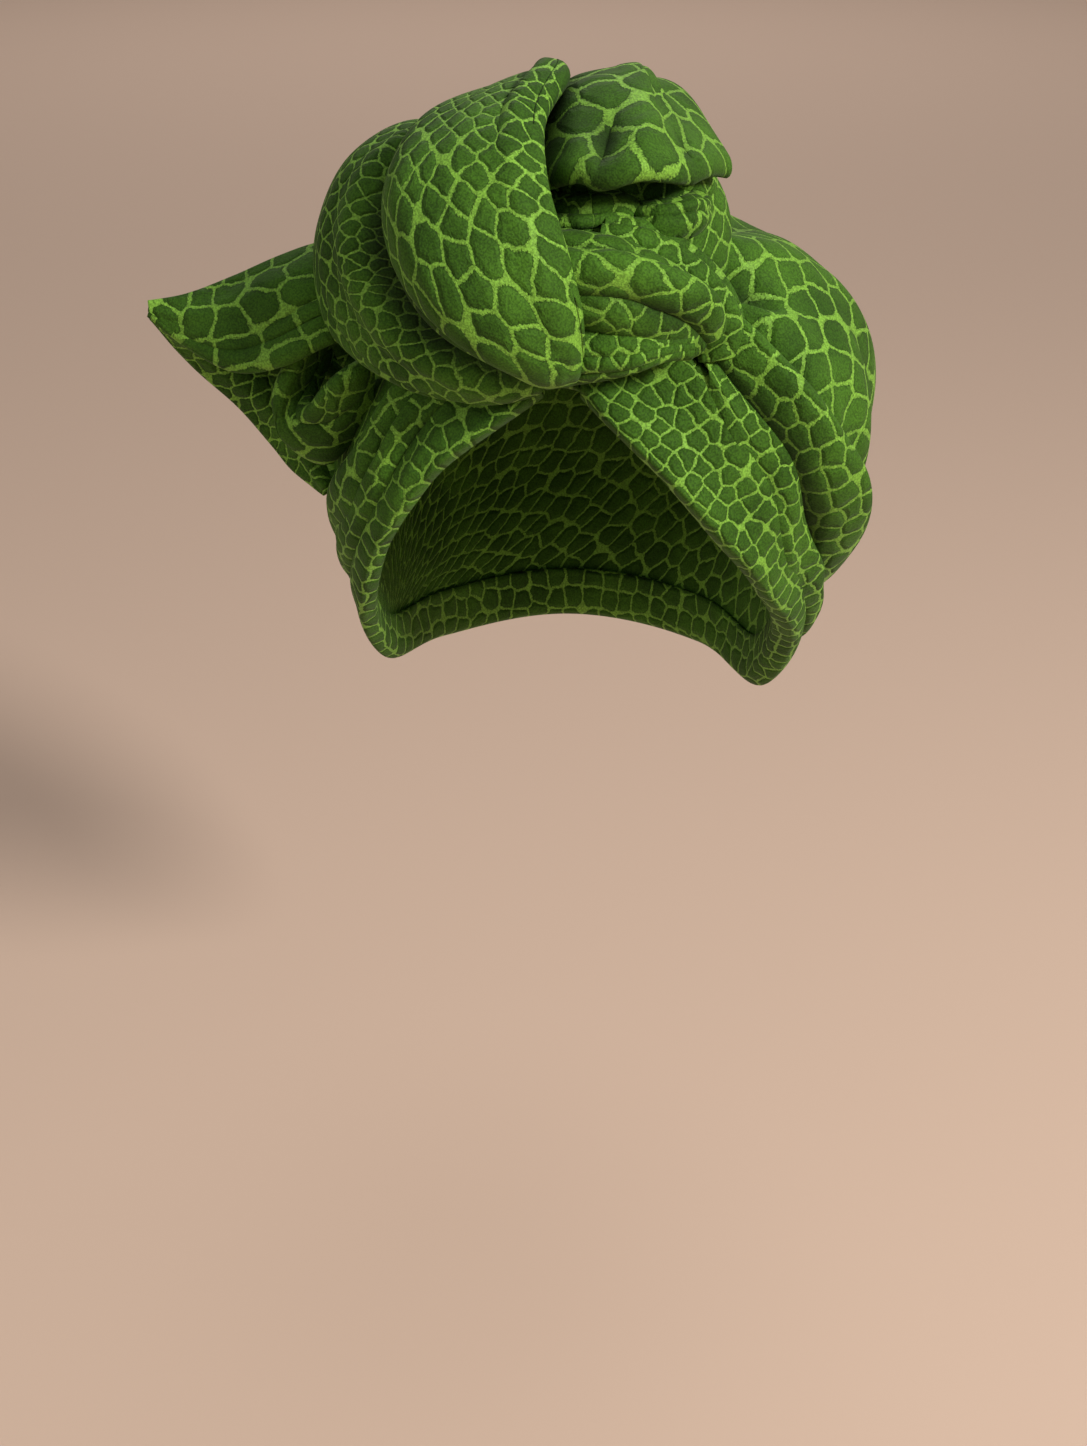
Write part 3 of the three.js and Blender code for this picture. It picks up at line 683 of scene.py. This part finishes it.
# Painted shadow colour for the thin line just inside each cell's border.
PAINTED_CELL_SHADOW = (0.5, 0.55, 0.5, 1)
WHITE = (1.0, 1.0, 1.0, 1)
FLOOR_COLOUR = (0.535, 0.395, 0.312, 1)
WEAVE_SCALE = 1500
CLOUD_SCALE = 38
BORDER_LEAST = 0.03
BORDER_SPREAD = 0.06
PATTERN_BEND = 0.42
PATTERN_TEETH = 0.1
PATTERN_SPREAD = 0.5
RAISED = 0.0011
RAISED_STRENGTH = 0.65
ROUGH_BORDER = 0.6
ROUGH_CELL = 0.78
SHEEN = 0.04
SHEEN_ROUGHNESS = 0.5
SHEEN_TINT = (0.75, 0.95, 0.6, 1)
SHINE = 0.16
FLOOR_ROUGHNESS = 0.9


def cloth_material():
    material = bpy.data.materials.new("scale_cloth")
    material.use_nodes = True
    nodes, links = material.node_tree.nodes, material.node_tree.links
    nodes.clear()

    def node(kind, **values):
        made = nodes.new(kind)
        for key, value in values.items():
            if hasattr(made, key):
                setattr(made, key, value)
            else:
                made.inputs[key.replace("_", " ")].default_value = value
        return made

    def maths(operation, a, b=0.0, c=0.0):
        made = node("ShaderNodeMath", operation=operation)
        for socket, value in zip(made.inputs, (a, b, c)):
            if isinstance(value, (int, float)):
                socket.default_value = value
            else:
                links.new(value, socket)
        return made.outputs[0]

    def ramp(value, low, high, start=0.0, end=1.0):
        made = node("ShaderNodeMapRange", interpolation_type="SMOOTHSTEP")
        for socket, number in zip(made.inputs[1:5], (low, high, start, end)):
            socket.default_value = number
        links.new(value, made.inputs[0])
        return made.outputs[0]

    def noise(source, scale, detail=2.0):
        made = node("ShaderNodeTexNoise", noise_dimensions="3D", Scale=scale, Detail=detail)
        links.new(source, made.inputs["Vector"])
        return made

    def mix(share, a, b, blend="MIX"):
        made = node("ShaderNodeMix", data_type="RGBA", blend_type=blend)
        for socket, value in ((made.inputs[0], share), (made.inputs[6], a), (made.inputs[7], b)):
            if isinstance(value, (tuple, float)):
                socket.default_value = value
            else:
                links.new(value, socket)
        return made.outputs[2]

    def moved(source, shift, amount):
        centred = node("ShaderNodeVectorMath", operation="SUBTRACT")
        links.new(shift, centred.inputs[0])
        centred.inputs[1].default_value = (0.5, 0.5, 0.5)
        scaled = node("ShaderNodeVectorMath", operation="SCALE")
        links.new(centred.outputs[0], scaled.inputs[0])
        scaled.inputs["Scale"].default_value = amount
        added = node("ShaderNodeVectorMath", operation="ADD")
        links.new(source, added.inputs[0])
        links.new(scaled.outputs[0], added.inputs[1])
        return added.outputs[0]

    cells = node("ShaderNodeUVMap", uv_map="cells").outputs["UV"]
    place = node("ShaderNodeTexCoord").outputs["Object"]
    bent = moved(cells, noise(cells, 1.3).outputs["Color"], PATTERN_BEND)
    toothed = moved(bent, noise(cells, 11, 3).outputs["Color"], PATTERN_TEETH)
    spread = {"voronoi_dimensions": "2D", "Scale": 1.0, "Randomness": PATTERN_SPREAD}
    edge = node("ShaderNodeTexVoronoi", feature="DISTANCE_TO_EDGE", **spread)
    near = node("ShaderNodeTexVoronoi", feature="F1", **spread)
    for made in (edge, near):
        links.new(toothed, made.inputs["Vector"])
    wide = maths("MULTIPLY", noise(cells, 2.2).outputs["Fac"], BORDER_SPREAD)
    inside = maths("SUBTRACT", maths("SUBTRACT", edge.outputs["Distance"], BORDER_LEAST), wide)
    corner = maths("MULTIPLY", maths("SUBTRACT", 0.6, near.outputs["Distance"]), 0.9)
    scale = maths("SMOOTH_MIN", inside, corner, 0.05)
    cell = ramp(scale, -0.012, 0.022)
    dome = ramp(scale, -0.03, 0.2)
    rim = maths("SUBTRACT", 1.0, ramp(maths("ABSOLUTE", scale), 0.0, 0.05))
    fleck = ramp(noise(cells, 19, 2).outputs["Fac"], 0.5, 0.62)
    weave = noise(place, WEAVE_SCALE, 2).outputs["Fac"]
    cloud = noise(place, CLOUD_SCALE, 2).outputs["Fac"]

    dark = mix(ramp(cloud, 0.3, 0.7), CELL_DARK, CELL_LIGHT)
    bright = mix(maths("MULTIPLY", fleck, rim), BORDER, BORDER_FLECK)
    colour = mix(cell, bright, dark)
    grain = mix(ramp(weave, 0.32, 0.68), GRAIN_DARK, GRAIN_LIGHT)
    colour = mix(1.0, colour, grain, "MULTIPLY")
    # Painted shade from folds, grooves and rolled edges darkens the base colour.
    painted_fold_shade = node("ShaderNodeAttribute", attribute_name="shade").outputs["Color"]
    colour = mix(1.0, colour, painted_fold_shade, "MULTIPLY")
    # Painted shadow: a thin darker line just inside each cell's border, standing in for the shadow of the
    # puffed cells.
    painted_cell_shadow = mix(maths("MULTIPLY", rim, cell), WHITE, PAINTED_CELL_SHADOW)
    colour = mix(1.0, colour, painted_cell_shadow, "MULTIPLY")

    height = maths("ADD", dome, maths("MULTIPLY", weave, 0.35))
    height = maths("SUBTRACT", height, maths("MULTIPLY", maths("MULTIPLY", fleck, rim), 0.5))
    bump = node("ShaderNodeBump", Strength=RAISED_STRENGTH, Distance=RAISED)
    links.new(height, bump.inputs["Height"])
    shader = node("ShaderNodeBsdfPrincipled")
    links.new(colour, shader.inputs["Base Color"])
    links.new(bump.outputs[0], shader.inputs["Normal"])
    links.new(ramp(cell, 0, 1, ROUGH_BORDER, ROUGH_CELL), shader.inputs["Roughness"])
    shader.inputs["Sheen Weight"].default_value = SHEEN
    shader.inputs["Sheen Roughness"].default_value = SHEEN_ROUGHNESS
    shader.inputs["Sheen Tint"].default_value = SHEEN_TINT
    shader.inputs["Specular IOR Level"].default_value = SHINE
    output = node("ShaderNodeOutputMaterial")
    links.new(shader.outputs[0], output.inputs["Surface"])
    return material


def floor_material():
    material = bpy.data.materials.new("floor_paper")
    material.use_nodes = True
    shader = material.node_tree.nodes["Principled BSDF"]
    shader.inputs["Base Color"].default_value = FLOOR_COLOUR
    shader.inputs["Roughness"].default_value = FLOOR_ROUGHNESS
    return material


def seat(bearing, above, lift):
    return on_crown(np.array(bearing), np.array(above), np.array(lift))


KNOT_SEAT = seat(-6.0, 58.0, float(CLOTH))
TAIL_SEAT = seat(-70.0, 40.0, 0.0)
cloth = cloth_material()


def dress(piece, node):
    """Cloth on a piece: the cloth material, the piece attached to the root, and the part it stands for
    hidden.
    """
    piece.data.materials.append(cloth)
    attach(piece, "root")
    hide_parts(node)


def knot(name, table, size_rows, flat, area=None, **options):
    piece = fold_piece(name + "_cloth", table, KNOT_SEAT, KNOT_SIZE, size_rows, **options)
    dress(piece, name)


def tail(name, table, size_rows, flat, area=None, **options):
    piece = fold_piece(name + "_cloth", table, TAIL_SEAT, TAIL_SIZE, size_rows, **options)
    dress(piece, name)


def band(name, table, size_rows, flat, **options):
    piece = band_piece(name + "_cloth", table, size_rows, **options)
    dress(piece, name)


dress(crown_piece(), "crown")
band("band_lower", BAND_LOWER, LOWER_CELLS, (0.056, 0.67), seed=2, wave=0.5, fullness=0.6,
     hem=True)
band("band_middle", BAND_MIDDLE, MIDDLE_CELLS, (0.038, 0.635), seed=3)
band("band_upper", BAND_UPPER, [[9, 9, 11]], (0.046, 0.65), seed=4, wave=0.7)

knot("knot_core", KNOT_CORE, [[9, 9, 9]], (0.16, 0.15), curl=(6, 6), seed=5, n=(60, 40), layers=1)
knot("knot_drape", KNOT_DRAPE, DRAPE_CELLS, (0.1, 0.25), area=0.021, curl=(2.5, 3), seed=6, n=(220, 90),
     dim=0.7, lines=DRAPE_LINES)
knot("knot_roll", KNOT_ROLL, ROLL_CELLS, (0.12, 0.23), area=0.02, curl=(3, 3), seed=7, n=(200, 80),
     lines=ROLL_LINES)
knot("knot_lobe", KNOT_LOBE, [[14.5, 14.5, 15]], (0.185, 0.08), curl=(2.5, 3), seed=8, n=(140, 110),
     fan=True, turn=30, wave=0.9, lines=LOBE_LINES)
knot("knot_side", KNOT_SIDE, [[7, 7, 7]], (0.06, 0.05), curl=(2, 2), seed=9, n=(90, 60),
     lines=SIDE_LINES)
knot("knot_twist", KNOT_TWIST, TWIST_CELLS, (0.08, 0.075), curl=(3, 3), seed=10, n=(110, 60),
     lines=TWIST_LINES)
knot("knot_twist_upper", KNOT_TWIST_UPPER, [[6, 6, 8]], (0.057, 0.068), curl=(2, 2), seed=11, n=(90, 50),
     lines=TWIST_UPPER_LINES)
knot("knot_leaf", KNOT_LEAF, [[7, 7, 8]], (0.042, 0.04), curl=(2, 2), seed=12, n=(90, 60),
     lines=LEAF_LINES)
knot("knot_coil", KNOT_COIL, [[7, 7, 8]], (0.043, 0.032), curl=(2, 2), seed=13, n=(90, 60),
     lines=COIL_LINES)
knot("knot_tuck", KNOT_TUCK, [[6, 6, 7]], (0.047, 0.048), curl=(2, 2), seed=14, n=(60, 50),
     lines=TUCK_LINES)

tail("tail_top", TAIL_TOP, TAIL_CELLS, (0.065, 0.085), area=0.0045, curl=(1.6, 2), seed=15, n=(110, 60),
     turn=0, lines=TAIL_TOP_LINES)
tail("tail_under", TAIL_UNDER, [[7, 7, 7]], (0.066, 0.1), area=0.005, curl=(1.6, 1.6), seed=16, n=(90, 50),
     lines=TAIL_UNDER_LINES)
tail("tail_loop", TAIL_LOOP, [[8, 8, 9]], (0.045, 0.08), curl=(1.6, 1.6), seed=17, n=(110, 40),
     lines=TAIL_LOOP_LINES)
tail("tail_curl", TAIL_CURL, [[8, 8, 8]], (0.023, 0.024), curl=(1, 1), seed=18, n=(50, 30))

# Floor, light and camera

FLOOR = -0.465
FLOOR_HALF_WIDTH = 14
FLOOR_DEPTHS = [-12, 0, 2, 4, 8, 9.5, 10.5, 11.5, 12, 12.3, 12.5]
FLOOR_HEIGHTS = [0, 0, 0, 0, 0.02, 0.1, 0.35, 1.0, 2.0, 4.0, 7.0]
WARM = (1.0, 0.95, 0.88)
SOFT = (1.0, 0.98, 0.95)
STUDIO = (1.0, 0.96, 0.92)
STUDIO_STRENGTH = 0.36
CAMERA_PLACE = (-0.012, -0.640, 0.145)
CAMERA_DOWN = 27.1
CAMERA_LENS = 44.8
CAMERA_SENSOR = 36


def floor_object():
    """A wide floor that rises far behind into a plain backdrop."""
    sides = (-FLOOR_HALF_WIDTH, FLOOR_HALF_WIDTH)
    rows = [[[x, y, FLOOR + h] for x in sides] for y, h in zip(FLOOR_DEPTHS, FLOOR_HEIGHTS)]
    points = np.array(rows) / METRES
    piece = grid_object("floor", points, points[..., :2] * 0)
    piece.data.materials.append(floor_material())


def area_light(name, place, aim, size, power, colour):
    data = bpy.data.lights.new(name, "AREA")
    data.shape = "DISK"
    data.size = size
    data.energy = power
    data.color = colour
    lamp = bpy.data.objects.new(name, data)
    lamp.location = place
    away = np.array(place) - np.array(aim)
    tilt = math.atan2(math.hypot(away[0], away[1]), away[2])
    lamp.rotation_euler = (tilt, 0, math.atan2(away[0], -away[1]))
    bpy.context.scene.collection.objects.link(lamp)


floor_object()
area_light("key", (1.4, -1.3, 1.05), (0, 0, 0), 0.45, 62, WARM)
area_light("fill", (-1.6, -1.5, 0.7), (-0.05, 0, 0), 1.0, 7, SOFT)
area_light("top", (0.3, 0.2, 1.9), (0, 0, 0), 1.0, 5, SOFT)
area_light("backdrop", (0, 5.0, 3.4), (0, 5.1, FLOOR), 4.0, 85, STUDIO)

world = bpy.data.worlds.new("studio")
world.use_nodes = True
world.node_tree.nodes["Background"].inputs["Color"].default_value = (*STUDIO, 1)
world.node_tree.nodes["Background"].inputs["Strength"].default_value = STUDIO_STRENGTH
bpy.context.scene.world = world
bpy.context.scene.view_settings.view_transform = "Standard"

camera_data = bpy.data.cameras.new("camera")
camera_data.sensor_width = CAMERA_SENSOR
camera_data.lens = CAMERA_LENS
camera = bpy.data.objects.new("camera", camera_data)
camera.location = CAMERA_PLACE
camera.rotation_euler = (math.radians(90 - CAMERA_DOWN), 0, 0)
bpy.context.scene.collection.objects.link(camera)
bpy.context.scene.camera = camera
